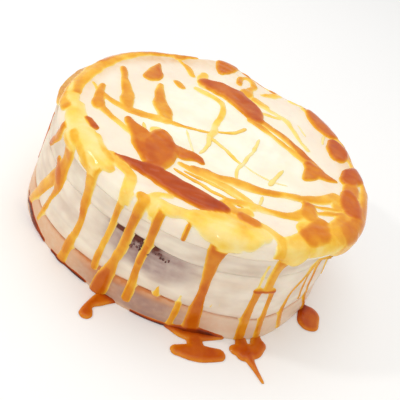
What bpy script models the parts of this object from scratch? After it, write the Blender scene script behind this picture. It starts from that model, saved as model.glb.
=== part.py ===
"""A whole round cheesecake in three iced layers, with a thick cream top and poured caramel.

Units are metres, +Z up. The origin is the middle of the flat underside. Angles go round
the cake in degrees: 0 is the front (-Y), 90 is the right (+X), 180 is the back.
"""
import math
import random

import bpy
import bmesh
from mathutils import Vector

MM = 0.001

# Driving dimensions
CAKE_RADIUS = 105 * MM          # at the foot, where the cake is widest
CAKE_HEIGHT = 76 * MM           # to the flat of the cream top
NECK_RADIUS = 103 * MM          # of the iced side just under the cream top
RIM_RADIUS = 104.5 * MM         # of the cream top, which hangs a little over the side
BOTTOM_TOP = 20.0 * MM          # height of the seam over the bottom layer
MIDDLE_TOP = 51.0 * MM          # height of the seam over the middle layer
TOP_TOP = 65.0 * MM             # height of the underside of the cream top
GAP = 0.3 * MM                  # between two pieces that touch
SEGMENTS = 60                   # facets round a turned piece

# How the hand-iced cake departs from round: (angle, height in mm, width in degrees)
FOOT_BUMPS = ((-62, 7.5, 30), (38, 3.5, 13), (88, -4.0, 20))
NECK_BUMPS = ((-78, 4.4, 30), (72, -4.5, 26))
RIM_BUMPS = ((-104, -2.5, 24), (-168, 8.0, 10), (167, -4.5, 10), (146, 2.5, 10),
             (111, -4.0, 10), (66, 3.5, 20), (-62, 2.5, 12))
RIM_LIFTS = ((-168, 1.6, 12), (167, -1.4, 12), (-20, 0.8, 25), (60, 0.8, 20))

# Side drips: (angle, start height, end height, half width in mm, drift in degrees)
SIDE_DRIPS = (
    (-62, 64, 14, 3.4, -9), (-51, 64, 5, 2.6, -2), (-47, 50, 1, 1.8, 1), (-35, 64, 1, 2.6, 2),
    (-21, 64, 12, 1.6, 2), (-13, 64, 1, 2.8, -2), (-8, 64, 8, 2.0, 2), (1.5, 64, 61, 1.3, 0),
    (12, 64, 1, 3.6, 4), (36.5, 64, 39, 2.6, 0), (34, 40, 1, 2.1, 3), (39, 40, 1, 2.1, 4),
    (47, 58, 3, 1.4, 6), (57, 60, 1, 2.0, 9),
)
BACK_DRIPS = 8                  # more of them round the back, spaced by a seeded rule
BACK_SEED = 7

# Caramel pools at the foot: points (angle, distance from the middle in mm), half widths in mm
FOOT_POOLS = (
    (((-12, 103), (-14, 110), (-15, 118), (-14, 125)), (5.0, 4.5, 2.6, 4.6)),
    (((9, 104), (16, 106), (27, 105)), (3.0, 6.0, 3.5)),
    (((17, 103), (18, 112), (18.5, 120)), (6.0, 5.0, 6.0)),
    (((12.5, 121), (18.5, 120.5), (25, 120)), (4.0, 6.2, 4.5)),
    (((35, 103), (34, 111), (33, 119)), (3.2, 4.0, 5.5)),
    (((41, 102), (40, 109), (39, 115)), (3.2, 3.6, 5.0)),
    (((31, 116), (36, 118), (40, 115)), (4.0, 5.5, 4.0)),
    (((34, 120), (34.5, 130), (35, 140)), (4.0, 2.0, 0.9)),
    (((69, 100), (68, 108), (66, 115)), (2.6, 3.2, 7.6)),
)

# Thick caramel on the top: points (x, y) and half widths, both in mm
TOP_RIBBONS = (
    (((-50, -73), (-30, -74), (-5, -77), (18, -78)), (2.0, 6.5, 9.0, 6.0)),
    (((-57, -30), (-42, -44), (-31, -56), (-28, -68)), (4.0, 7.0, 10.0, 5.0)),
    (((-34, -38), (-18, -47), (-5, -43)), (8.0, 8.0, 2.5)),
    (((-28, 60), (-8, 57), (8, 48), (22, 31)), (6.0, 11.0, 13.0, 7.0)),
    (((20, 33), (42, 24), (62, 10), (78, 4)), (6.0, 4.5, 5.0, 2.5)),
    (((18, 26), (40, 14), (58, 6)), (3.0, 2.6, 2.6)),
    (((64, 5), (63, -6)), (7.0, 2.5)),
    (((-4, 86), (0, 94), (6, 88), (5, 68)), (2.2, 2.6, 3.4, 5.0)),
    (((-20, 101), (-20, 84)), (7.5, 3.0)),
    (((62, 84), (68, 68)), (7.5, 7.5)),
    (((80, 50), (80, 36)), (5.5, 7.5)),
    (((90, 26), (90, 8)), (7.0, 7.5)),
    (((88, -8), (92, -24)), (5.5, 6.0)),
    (((-12, -50), (14, -49), (40, -43), (66, -32)), (4.5, 5.0, 3.5, 4.0)),
    (((-14, -58), (4, -64), (32, -66), (60, -54)), (2.2, 2.6, 2.6, 3.4)),
    (((-80, 28), (-73, 10), (-63, -6), (-59, -20)), (3.2, 3.0, 4.6, 3.0)),
    (((-52, 30), (-48, 8), (-42, -3), (-33, -11)), (2.6, 4.0, 5.5, 2.6)),
    (((-62, 52), (-61, 38)), (2.5, 6.0)),
    (((-84, -8), (-76, -18), (-56, -20), (-32, -13)), (2.0, 2.2, 2.6, 2.2)),
    (((-32, -13), (-12, -9), (-5, 2), (-7, 30)), (2.2, 1.8, 2.2, 2.0)),
    (((-82, -14), (-78, -28), (-62, -38), (-46, -46)), (2.6, 3.4, 2.2, 3.0)),
    (((56, -44), (72, -58)), (5.0, 5.5)),
)
RIBBON_RISE = 0.20              # a poured ribbon's height as a share of its half width
RIBBON_MIN_RISE = 0.9 * MM
POOL_RISE = 2.0 * MM
POOL_UNDERSIDE = 0.2 * MM
TIP_LENGTH = 0.75               # of a strand's round end, as shares of its half width there
TIP_WIDTH = 0.35
DRIP_SINK = 0.35                # how far a drip's middle lies inside the side, in radii
DRIP_MARGIN = 0.1 * MM          # that a drip keeps inside its layer at a seam or at the underside
SPARE = 3 * MM                  # that a drip runs past a seam before it is cut off there

CREAM = (0.93, 0.89, 0.74)
SPONGE = (0.60, 0.46, 0.36)
ICED_SIDE = (0.72, 0.66, 0.56)
ICED_TOP = (0.80, 0.74, 0.62)


def remove_everything():
    for thing in list(bpy.data.objects):
        bpy.data.objects.remove(thing, do_unlink=True)


def new_collection(name):
    collection = bpy.data.collections.new(name)
    bpy.context.scene.collection.children.link(collection)
    return collection


def make_material(name, colour, roughness):
    material = bpy.data.materials.new(name)
    material.use_nodes = True
    shader = material.node_tree.nodes["Principled BSDF"]
    shader.inputs["Base Color"].default_value = (*colour, 1.0)
    shader.inputs["Roughness"].default_value = roughness
    shader.inputs["Metallic"].default_value = 0.0
    return material


def bump_sum(angle, bumps):
    """Height in metres of a row of rounded bumps at an angle in degrees."""
    total = 0.0
    for centre, height, width in bumps:
        away = (angle - centre + 180) % 360 - 180
        total += height * MM * math.exp(-(away / width) ** 2)
    return total


def angle_of(point):
    return math.degrees(math.atan2(point.x, -point.y))


def place(angle, radius, height):
    turn = math.radians(angle)
    return Vector((radius * math.sin(turn), -radius * math.cos(turn), height))


def side_radius(angle, height):
    """Radius of the iced side, which leans between its foot and its neck."""
    foot = CAKE_RADIUS + bump_sum(angle, FOOT_BUMPS)
    neck = NECK_RADIUS + bump_sum(angle, NECK_BUMPS)
    return foot + (neck - foot) * min(height / TOP_TOP, 1.0)


def rim_radius(angle):
    return RIM_RADIUS + bump_sum(angle, RIM_BUMPS)


def knife_relief(x, y):
    """Soft waves that the palette knife leaves in the cream top."""
    along = math.sin(x / (17 * MM) + 1.3 * math.sin(y / (31 * MM)))
    across = math.sin(y / (23 * MM) - 0.8 * math.sin(x / (26 * MM)) + 0.7)
    return 0.45 * MM * along + 0.35 * MM * across


def top_surface(x, y):
    """Height of the cream top, which falls away over its rounded rim."""
    point = Vector((x, y, 0.0))
    angle = angle_of(point)
    round_over = 8 * MM
    inside = rim_radius(angle) - round_over
    beyond = min(max(point.length - inside, 0.0), round_over * 0.92)
    drop = 0.75 * (round_over - math.sqrt(round_over ** 2 - beyond ** 2))
    return CAKE_HEIGHT + knife_relief(x, y) + bump_sum(angle, RIM_LIFTS) * point.length / RIM_RADIUS - drop


def new_object(name, mesh, collection):
    thing = bpy.data.objects.new(name, mesh)
    collection.objects.link(thing)
    return thing


def bake(thing):
    """Turn an object with modifiers, or a curve, into a plain mesh object of the same name."""
    graph = bpy.context.evaluated_depsgraph_get()
    mesh = bpy.data.meshes.new_from_object(thing.evaluated_get(graph))
    name, place_matrix, collection = thing.name, thing.matrix_world.copy(), thing.users_collection[0]
    bpy.data.objects.remove(thing, do_unlink=True)
    work = bmesh.new()
    work.from_mesh(mesh)
    bmesh.ops.remove_doubles(work, verts=work.verts, dist=0.01 * MM)
    work.to_mesh(mesh)
    work.free()
    baked = new_object(name, mesh, collection)
    baked.matrix_world = place_matrix
    return baked


def turn_profile(name, profile, collection):
    """Turn a profile of (radius, height), given from the top down the outer side, into a solid."""
    mesh = bpy.data.meshes.new(name)
    points = [(radius, 0.0, height) for radius, height in profile]
    mesh.from_pydata(points, [(i, i + 1) for i in range(len(points) - 1)], [])
    thing = new_object(name, mesh, collection)
    screw = thing.modifiers.new("turn", 'SCREW')
    screw.axis = 'Z'
    screw.steps = SEGMENTS
    screw.render_steps = SEGMENTS
    screw.use_merge_vertices = True
    screw.merge_threshold = 0.0001
    return bake(thing)


def rounded_end(points, widths):
    """One point past the last, closer in, so that a strand ends round and not cut off."""
    along = (points[-1] - points[-2]).normalized()
    return points[-1] + along * widths[-1] * TIP_LENGTH, widths[-1] * TIP_WIDTH


def poured_strand(name, points, half_widths, collection, round_start=True, round_end=True):
    """A tube along a smooth curve through the points, thick and thin as the half widths say."""
    points, half_widths = list(points), list(half_widths)
    if round_start:
        tip, width = rounded_end(points[::-1], half_widths[::-1])
        points.insert(0, tip)
        half_widths.insert(0, width)
    if round_end:
        tip, width = rounded_end(points, half_widths)
        points.append(tip)
        half_widths.append(width)
    curve = bpy.data.curves.new(name, 'CURVE')
    curve.dimensions = '3D'
    curve.bevel_depth = 1.0
    curve.bevel_resolution = 2
    curve.use_fill_caps = True
    curve.resolution_u = 2
    spline = curve.splines.new('BEZIER')
    spline.bezier_points.add(len(points) - 1)
    for knot, point, half_width in zip(spline.bezier_points, points, half_widths):
        knot.co = point
        knot.radius = half_width
        knot.handle_left_type = 'AUTO'
        knot.handle_right_type = 'AUTO'
    return bake(new_object(name, curve, collection))


def fuse(thing, strands):
    """Join every object of the strands' collection to the thing, then clear the collection."""
    union = thing.modifiers.new("fuse", 'BOOLEAN')
    union.operation = 'UNION'
    union.operand_type = 'COLLECTION'
    union.collection = strands
    union.solver = 'EXACT'
    fused = bake(thing)
    for strand in list(strands.objects):
        bpy.data.objects.remove(strand, do_unlink=True)
    return fused


def all_drips():
    """Every side drip, those of the back drawn by a seeded rule."""
    drips = list(SIDE_DRIPS)
    dice = random.Random(BACK_SEED)
    first, last = 84.0, 282.0
    for index in range(BACK_DRIPS):
        angle = first + (last - first) * (index + 0.2 + 0.6 * dice.random()) / BACK_DRIPS
        end = dice.choice((1.0, 1.0, 12.0, 30.0, 46.0))
        drips.append((angle, 64.0, end, dice.uniform(1.6, 3.0), dice.uniform(-3.0, 3.0)))
    return drips


def cut_flat(thing, height, upward):
    """Cut an object off at a height, clearing what lies above it or below it, and close the cut."""
    work = bmesh.new()
    work.from_mesh(thing.data)
    geometry = work.verts[:] + work.edges[:] + work.faces[:]
    cut = bmesh.ops.bisect_plane(work, geom=geometry, plane_co=(0, 0, height),
                                 plane_no=(0, 0, 1 if upward else -1), clear_outer=True)
    rim = [edge for edge in cut["geom_cut"] if isinstance(edge, bmesh.types.BMEdge)]
    bmesh.ops.edgenet_fill(work, edges=rim)
    bmesh.ops.recalc_face_normals(work, faces=work.faces)
    work.to_mesh(thing.data)
    work.free()


def add_drips(low, high, strands):
    """The stretch of each side drip that lies on the layer between two heights."""
    for index, (angle, start, end, half_width, drift) in enumerate(all_drips()):
        start, end = start * MM, end * MM
        upper = min(start, high + SPARE)
        lower = max(end, low - SPARE)
        if min(upper, high) - max(lower, low) < 2 * MM:
            continue
        points, widths = [], []
        for step in range(4):
            height = upper + (lower - upper) * step / 3
            gone = min(max((start - height) / (start - end), 0.0), 1.0)
            width = half_width * MM * (1.25 - 0.35 * gone)
            turn = angle + drift * gone ** 1.5
            points.append(place(turn, side_radius(turn, height) - DRIP_SINK * width, height))
            widths.append(width)
        drip = poured_strand(f"drip_{index}", points, widths, strands, False, lower == end)
        if upper > high:
            cut_flat(drip, high - DRIP_MARGIN, True)
        if lower < low + half_width * MM:
            cut_flat(drip, low + DRIP_MARGIN, False)


def wave_side(thing):
    """Move a turned layer's side out to the uneven outline."""
    for vertex in thing.data.vertices:
        share = side_radius(angle_of(vertex.co), vertex.co.z) / CAKE_RADIUS
        vertex.co.x *= share
        vertex.co.y *= share


def add_foot_pools(strands):
    """Low caramel pools that run out from the foot, cut off just over the underside."""
    for index, (spots, half_widths) in enumerate(FOOT_POOLS):
        points = [place(angle, distance * MM, 0.0) for angle, distance in spots]
        pool = poured_strand(f"pool_{index}", points, [width * MM for width in half_widths], strands)
        widest = max(half_widths) * MM
        for vertex in pool.data.vertices:
            vertex.co.z *= POOL_RISE / widest
        cut_flat(pool, POOL_UNDERSIDE, False)


def layer_profile(low, high, bulge, edge):
    """A layer's side, which swells by the bulge and rolls in by the edge at its seams."""
    span = high - low
    return [
        (0.0, high), (CAKE_RADIUS * 0.5, high), (CAKE_RADIUS - edge, high),
        (CAKE_RADIUS - 0.3 * edge, high - 1.2 * MM),
        (CAKE_RADIUS + 0.7 * bulge, low + 0.72 * span),
        (CAKE_RADIUS + bulge, low + 0.38 * span),
        (CAKE_RADIUS - 0.3 * edge, low + 1.2 * MM),
        (CAKE_RADIUS - edge, low), (CAKE_RADIUS * 0.5, low), (0.0, low),
    ]


def build_layer(name, low, high, bulge, edge, parts, strands, foot_pools=False):
    layer = turn_profile(name, layer_profile(low, high, bulge, edge), parts)
    wave_side(layer)
    add_drips(low, high, strands)
    if foot_pools:
        add_foot_pools(strands)
    return fuse(layer, strands)


def add_ribbons(strands):
    """Thick caramel ribbons laid over the cream top, following its surface."""
    for index, (spots, half_widths) in enumerate(TOP_RIBBONS):
        points = [Vector((x * MM, y * MM, 0.0)) for x, y in spots]
        ribbon = poured_strand(f"ribbon_{index}", points, [w * MM for w in half_widths], strands)
        widest = max(half_widths) * MM
        rise = max(RIBBON_RISE * widest, RIBBON_MIN_RISE)
        for vertex in ribbon.data.vertices:
            vertex.co.z = top_surface(vertex.co.x, vertex.co.y) + rise * vertex.co.z / widest


def build_cream_top(parts, strands):
    """The thick cream top, turned and then pulled into its uneven rim and knife marks."""
    under = TOP_TOP + GAP
    rings = [(RIM_RADIUS * share, CAKE_HEIGHT) for share in (0.0, 0.2, 0.4, 0.6, 0.8)]
    shoulder = [(RIM_RADIUS - inset * MM, CAKE_HEIGHT) for inset in (9, 6, 3.6, 1.6)]
    side = ((0.3, 70.5), (0.4, 68.0), (2.0, 65.8))
    lip = [(RIM_RADIUS - inset * MM, height * MM) for inset, height in side]
    base = [(RIM_RADIUS - 3.4 * MM, under), (RIM_RADIUS * 0.5, under), (0.0, under)]
    cream = turn_profile("cream_top", rings + shoulder + lip + base, parts)
    for vertex in cream.data.vertices:
        share = rim_radius(angle_of(vertex.co)) / RIM_RADIUS
        vertex.co.x *= share
        vertex.co.y *= share
        if vertex.co.z > 75 * MM:
            vertex.co.z = top_surface(vertex.co.x, vertex.co.y)
    add_ribbons(strands)
    return fuse(cream, strands)


def finish_piece(thing, material):
    thing.data.materials.clear()
    thing.data.materials.append(material)
    thing.data.shade_smooth()
    thing.data.set_sharp_from_angle(angle=math.radians(40))


def build_cake():
    remove_everything()
    parts = new_collection("cheesecake")
    strands = new_collection("poured_strands")
    bottom = build_layer("bottom_layer", 0.0, BOTTOM_TOP, 0.4 * MM, 1.2 * MM, parts, strands, True)
    middle = build_layer("middle_layer", BOTTOM_TOP + GAP, MIDDLE_TOP, 0.9 * MM, 1.6 * MM, parts, strands)
    top = build_layer("top_layer", MIDDLE_TOP + GAP, TOP_TOP, 0.5 * MM, 1.4 * MM, parts, strands)
    cream = build_cream_top(parts, strands)
    bpy.data.collections.remove(strands)
    finish_piece(bottom, make_material("caramel_soaked_sponge", SPONGE, 0.6))
    finish_piece(middle, make_material("thin_iced_side", ICED_SIDE, 0.55))
    finish_piece(top, make_material("iced_shoulder", ICED_TOP, 0.55))
    finish_piece(cream, make_material("thick_cream", CREAM, 0.4))
    for piece in parts.objects:
        print(piece.name, len(piece.data.polygons), "faces")


build_cake()
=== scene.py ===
# %% [markdown]
# # A caramel cheesecake
#
# This lesson dresses a whole round cheesecake: three thinly iced layers, a thick cream top with
# an uneven rim, and caramel poured over it that runs down the side and pools at the foot.
# The solids of the cake are loaded first, so every piece made here has a place to sit.

# %% Load the cake's solids
import math
import random

import bmesh
import bpy
import numpy as np
from mathutils import Matrix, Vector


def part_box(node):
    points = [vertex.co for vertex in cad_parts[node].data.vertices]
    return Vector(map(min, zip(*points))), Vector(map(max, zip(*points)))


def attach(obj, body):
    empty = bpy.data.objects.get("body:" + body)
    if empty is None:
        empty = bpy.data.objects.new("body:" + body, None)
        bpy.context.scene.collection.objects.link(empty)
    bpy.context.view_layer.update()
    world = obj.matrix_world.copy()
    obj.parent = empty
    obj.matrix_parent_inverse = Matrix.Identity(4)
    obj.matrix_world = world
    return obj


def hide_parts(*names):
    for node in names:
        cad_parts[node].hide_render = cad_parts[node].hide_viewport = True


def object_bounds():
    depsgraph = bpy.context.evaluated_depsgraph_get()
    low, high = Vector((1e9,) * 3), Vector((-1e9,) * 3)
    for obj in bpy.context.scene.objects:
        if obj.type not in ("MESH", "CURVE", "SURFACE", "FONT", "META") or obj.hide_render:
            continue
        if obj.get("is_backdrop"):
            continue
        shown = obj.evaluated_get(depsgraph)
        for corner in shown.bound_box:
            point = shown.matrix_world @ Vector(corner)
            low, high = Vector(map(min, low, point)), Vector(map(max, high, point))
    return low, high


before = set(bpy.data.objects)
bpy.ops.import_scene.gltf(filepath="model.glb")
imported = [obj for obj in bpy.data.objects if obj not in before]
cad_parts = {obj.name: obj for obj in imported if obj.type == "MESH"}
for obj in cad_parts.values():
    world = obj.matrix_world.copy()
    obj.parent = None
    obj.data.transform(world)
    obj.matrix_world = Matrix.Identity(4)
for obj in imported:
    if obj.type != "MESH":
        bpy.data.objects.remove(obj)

MM = 0.001
solid_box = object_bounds()
low_cream, high_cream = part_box("cream_top")
print("solids, mm:", [round(v / MM) for v in solid_box[0]], [round(v / MM) for v in solid_box[1]])

# %% [markdown]
# ## Looking at the cake
#
# The camera stands close, looks down at the cake from the front and is turned on its side by
# some 24 degrees. It could be aimed by a constraint, but here its three axes are worked out
# from how high it stands, how far it is turned, and where the middle of the cake's foot shows
# in a picture of 400 by 400 pixels. That keeps every number one that can be read off a photo.

# %% Camera
PICTURE = 400                      # pixels on a side
FOCAL = 650                        # pixels
CAMERA_DISTANCE = 467 * MM
CAMERA_HEIGHT_ANGLE = math.radians(37.8)
CAMERA_ROLL = math.radians(24.0)
AIM = np.array([1.0, -5.5, 0.0]) * MM   # the point near the middle of the foot that is aimed at
AIM_PIXEL = (185, 223)             # where that point shows
SENSOR = 36                        # millimetres, Blender's own


def turn_between(a, b):
    """The smallest rotation that takes unit vector a to unit vector b."""
    axis = np.cross(a, b)
    cross = np.array([[0, -axis[2], axis[1]], [axis[2], 0, -axis[0]], [-axis[1], axis[0], 0]])
    return np.eye(3) + cross + cross @ cross / (1 + a @ b)


def make_camera():
    back = np.array([0, -math.cos(CAMERA_HEIGHT_ANGLE), math.sin(CAMERA_HEIGHT_ANGLE)])
    right = np.array([1.0, 0.0, 0.0])
    level = np.stack([right, np.cross(right, back), -back])
    roll = np.array([[math.cos(CAMERA_ROLL), -math.sin(CAMERA_ROLL), 0],
                     [math.sin(CAMERA_ROLL), math.cos(CAMERA_ROLL), 0], [0, 0, 1]])
    ray = np.array([AIM_PIXEL[0] - PICTURE / 2, AIM_PIXEL[1] - PICTURE / 2, FOCAL])
    axes = turn_between(np.array([0, 0, 1.0]), ray / np.linalg.norm(ray)) @ roll @ level
    data = bpy.data.cameras.new("camera")
    data.sensor_width = SENSOR
    data.lens = FOCAL / PICTURE * SENSOR
    data.clip_start, data.clip_end = 0.01, 20
    camera = bpy.data.objects.new("camera", data)
    bpy.context.scene.collection.objects.link(camera)
    place = np.eye(4)
    place[:3, 0], place[:3, 1], place[:3, 2] = axes[0], -axes[1], -axes[2]
    place[:3, 3] = AIM + back * CAMERA_DISTANCE
    camera.matrix_world = Matrix(place.tolist())
    bpy.context.scene.camera = camera
    return camera


camera = make_camera()
print("camera at, mm:", [round(v / MM) for v in camera.matrix_world.translation])

# %% [markdown]
# ## Shape helpers
#
# A hand-iced cake is never quite round. Its foot, its neck and the rim of its cream top each
# have their own soft bumps, given as an angle, a height and a width. Angles go round the cake
# in degrees: 0 is the front, 90 the right and 180 the back. A small lattice of random numbers,
# blended smoothly, gives every surface its soft waves, and it can be wrapped round the cake.

# %% Bumps and soft waves
CAKE_RADIUS = 105.0                # millimetres from here on, turned to metres in the meshes
NECK_RADIUS = 103.0
RIM_RADIUS = 104.5
CAKE_HEIGHT = 76.0
LIP_BOTTOM = low_cream.z / MM      # the underside of the cream top
LIP_SHOULDER = 70.0                # where the rim's round shoulder ends and its side begins
SHOULDER = 8.0                     # how far the round shoulder reaches in
LOW_SEAM = 19.0                    # between the bottom and the middle layer
HIGH_SEAM = 51.15                  # between the middle and the top layer

FOOT_BUMPS = ((-62, 7.5, 30), (38, 3.5, 13), (88, -4.0, 20))
NECK_BUMPS = ((-78, 4.0, 30), (72, -4.5, 26))
RIM_BUMPS = ((-104, -2.5, 24), (-168, 6.0, 10), (167, -4.5, 10), (146, 2.5, 10),
             (111, -4.0, 10), (66, 3.5, 20), (-62, 2.5, 12))
RIM_LIFTS = ((-168, 1.6, 12), (167, -1.4, 12), (-20, 0.8, 25), (60, 0.8, 20))
LOW_SEAM_BUMPS = ((-40, -4.6, 18), (0, 1.3, 12), (34, -1.8, 14))
HIGH_SEAM_BUMPS = ((-58, -3.0, 20), (-14, 1.2, 10), (150, 1.5, 40))


def half_turns(angle):
    """The same angle, between -180 and 180 degrees."""
    return (angle + 180) % 360 - 180


def bumps(angle, rows):
    return sum(height * np.exp(-(half_turns(angle - centre) / width) ** 2)
               for centre, height, width in rows)


def smooth(low, high, value):
    """A soft step from 0 at low to 1 at high; it steps down where low is the larger one."""
    share = np.clip((value - low) / (high - low), 0, 1)
    return share * share * (3 - 2 * share)


LATTICE = 64                       # units along before the waves repeat


def waves(across, along, seed, wrap=LATTICE):
    """Smooth random waves between -1 and 1, one per unit, that repeat after wrap units across."""
    lattice = np.random.default_rng(seed).uniform(-1, 1, (LATTICE, wrap))
    i, j = np.floor(along).astype(int), np.floor(across).astype(int)
    u, v = smooth(0, 1, along - i), smooth(0, 1, across - j)
    rows = [lattice[(i + a) % LATTICE, (j + b) % wrap] for a, b in ((0, 0), (0, 1), (1, 0), (1, 1))]
    upper = rows[0] * (1 - v) + rows[1] * v
    lower = rows[2] * (1 - v) + rows[3] * v
    return upper * (1 - u) + lower * u


def round_waves(angle, height, across, along, seed):
    """Waves that wrap round the cake: so many in a turn, and one per so many mm of height."""
    return waves(angle / 360 * across, height / along, seed, across)


print("rim, mm:", RIM_RADIUS + bumps(np.array([0.0, 90.0, -168.0]), RIM_BUMPS))

# %% [markdown]
# ## The cream's surface
#
# The whole outside of the cake is one skin, and each piece takes its own stretch of it. The
# skin is followed from the middle of the top, over the round shoulder, and down the side.
# A palette knife leaves broad soft waves and a few low ridges in the top. The side was scraped
# almost bare, so it only has faint level streaks, and it rolls in at the two seams.

# %% The skin of the cake
def rim_radius(angle):
    return RIM_RADIUS + bumps(angle, RIM_BUMPS) + 0.35 * round_waves(angle, 0 * angle, 30, 9, 4)


def low_seam(angle):
    return LOW_SEAM + bumps(angle, LOW_SEAM_BUMPS) + 0.5 * round_waves(angle, 0 * angle, 40, 9, 5)


def high_seam(angle):
    return HIGH_SEAM + bumps(angle, HIGH_SEAM_BUMPS) + 0.5 * round_waves(angle, 0 * angle, 36, 9, 6)


def knife_marks(x, y):
    """Height of the knife's marks in mm: broad waves, a swirl of low ridges and fine ripples."""
    broad = 0.5 * np.sin(x / 17 + 1.3 * np.sin(y / 31))
    broad = broad + 0.35 * np.sin(y / 23 - 0.8 * np.sin(x / 26) + 0.7)
    swirl = np.hypot(x + 14, y - 8) / 8.5 + 1.4 * waves(x / 40, y / 40, 11)
    ridges = 0.18 * np.sin(2 * math.pi * swirl) * smooth(-0.2, 0.6, waves(x / 32, y / 32, 12))
    return broad + ridges + 0.18 * waves(x / 9, y / 9, 13) + 0.05 * waves(x / 2.6, y / 2.6, 14)


def top_point(angle, reach):
    """A point of the top, where reach 1 is the start of the shoulder and 2 its end."""
    turn = np.radians(angle)
    rim = rim_radius(angle)
    over = np.clip(reach - 1, 0, 1) * math.pi / 2
    radius = np.minimum(reach, 1) * (rim - SHOULDER) + SHOULDER * np.sin(over)
    x, y = radius * np.sin(turn), -radius * np.cos(turn)
    lift = bumps(angle, RIM_LIFTS) * radius / RIM_RADIUS + knife_marks(x, y)
    height = LIP_SHOULDER + (CAKE_HEIGHT - LIP_SHOULDER) * np.cos(over) + lift * np.cos(over)
    return np.stack([x, y, height], -1)


def side_radius(angle, height):
    foot = CAKE_RADIUS + bumps(angle, FOOT_BUMPS)
    neck = NECK_RADIUS + bumps(angle, NECK_BUMPS)
    plain = foot + (neck - foot) * np.clip(height / LIP_BOTTOM, 0, 1)
    plain = plain + np.clip(rim_radius(angle) - 0.6 - plain, 0, 2) * smooth(52, LIP_BOTTOM, height)
    streaks = 0.3 * round_waves(angle, height, 18, 7.0, 21)
    streaks = streaks + 0.08 * round_waves(angle, height, 50, 2.5, 22)
    return plain + streaks + 0.15 * round_waves(angle, height, 70, 8, 23)


def lip_radius(angle, height):
    """The rim's side, which rolls under to the lip's lower edge."""
    under = np.clip((LIP_BOTTOM + 2 - height) / 2, 0, 1)
    return rim_radius(angle) - 0.5 * (1 - np.sqrt(1 - 0.98 * under ** 2)) - 0.1 * under


WIDEST_BRIDGE = 9.0                # between the side and the rim, mm


def flow_radius(angle, height):
    """Where caramel hangs from the rim to the side, bridging the hollow under the lip."""
    side, rim = side_radius(angle, height), rim_radius(angle)
    return side + np.clip(rim - side, 0, WIDEST_BRIDGE) * smooth(56, LIP_BOTTOM, height)


def ring_point(angle, radius, height):
    turn = np.radians(angle)
    return np.stack([radius * np.sin(turn), -radius * np.cos(turn), height + 0 * radius], -1)


# %% [markdown]
# ## Turning grids of points into pieces
#
# The surfaces are worked out as grids of points: rows go down the skin, columns go round it.
# A layer or the cream top becomes a closed solid from such a grid, with a fan of triangles at
# either end. Blender's own lathe could turn them, but not with an outline that changes.

# %% Solid from rings
INSIDE_BOX = np.array(solid_box) / MM + [[0.05], [-0.05]]    # no piece may grow past the solids
INSIDE_BOX[0, 2] = 0.0


def angles_round(count):
    return np.arange(count) * 360.0 / count


def grid_cells(rows, columns, start=0):
    """The numbers of a grid's points, and its cells, which close up round the cake."""
    index = start + np.arange(rows * columns).reshape(rows, columns)
    right = np.roll(index, -1, axis=1)
    return index, np.stack([index[:-1], index[1:], right[1:], right[:-1]], -1)


def new_piece(name, points, faces, marks=None, flat_from=None):
    mesh = bpy.data.meshes.new(name)
    mesh.from_pydata((points * MM).tolist(), [], faces)
    for mark, values in (marks or {}).items():
        layer = mesh.attributes.new(mark, 'FLOAT', 'POINT')
        layer.data.foreach_set("value", np.asarray(values, np.float32).ravel())
    mesh.shade_smooth()
    if flat_from is not None:
        mesh.polygons.foreach_set("use_smooth", np.arange(len(faces)) < flat_from)
    piece = bpy.data.objects.new(name, mesh)
    bpy.context.scene.collection.objects.link(piece)
    return piece


def ring_solid(name, rings, marks):
    """A closed solid from rings of points that run from the top's middle to the underside's."""
    index, cells = grid_cells(*rings.shape[:2])
    quads = cells.reshape(-1, 4).tolist()
    top, bottom = index.size, index.size + 1
    fans = [(top, a, b) for a, b in zip(index[0].tolist(), np.roll(index[0], -1).tolist())]
    fans += [(bottom, b, a) for a, b in zip(index[-1].tolist(), np.roll(index[-1], -1).tolist())]
    points = np.concatenate([rings.reshape(-1, 3), [rings[0].mean(0)], [rings[-1].mean(0)]])
    points = np.clip(points, INSIDE_BOX[0], INSIDE_BOX[1])
    both = {mark: np.append(value.ravel(), [value[0].mean(), value[-1].mean()])
            for mark, value in marks.items()}
    return new_piece(name, points, quads + fans, both)


# %% [markdown]
# ## Strokes of caramel
#
# Caramel runs off a spoon in strokes, thick where the spoon lingers. Each stroke is a short
# row of points with a half width at each, how deep its colour gets, and how thick it lies.
# Strokes could be tubes, but poured caramel flows together, so here all strokes are melted
# into one sheet. Where strokes meet, their heights flow into one another. Beyond a stroke's
# edge the sheet dives under the cream, which gives a clean and smooth edge.

# %% Melting strokes into a sheet
DIVE = 0.9                         # how fast the sheet dives beyond a stroke's edge
MENISCUS = 3.2                     # width of a stroke's rounded edge, mm
FLOW = 0.5                         # how much strokes that meet flow into one another, mm
NEARBY = 20                        # points further than this from a stroke are skipped, mm
FAR_OUTSIDE = -9.0                 # the distance that skipped points get
FAINTEST = 0.1                     # depth of colour where there is no stroke


def smooth_path(points, half_widths, spacing=1.2):
    """Points along a smooth curve through a stroke's points, with the half width at each."""
    knots = np.column_stack([np.array(points, float), half_widths])
    padded = np.vstack([2 * knots[0] - knots[1], knots, 2 * knots[-1] - knots[-2]])
    path = []
    for a, b, c, d in zip(padded, padded[1:], padded[2:], padded[3:]):
        steps = max(int(np.linalg.norm((c - b)[:2]) / spacing), 2)
        t = (np.arange(steps) / steps)[:, None]
        path.append(0.5 * (2 * b + (c - a) * t + (2 * a - 5 * b + 4 * c - d) * t ** 2
                           + (3 * b - a - 3 * c + d) * t ** 3))
    path.append(knots[-1:])
    return np.vstack(path)


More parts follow.
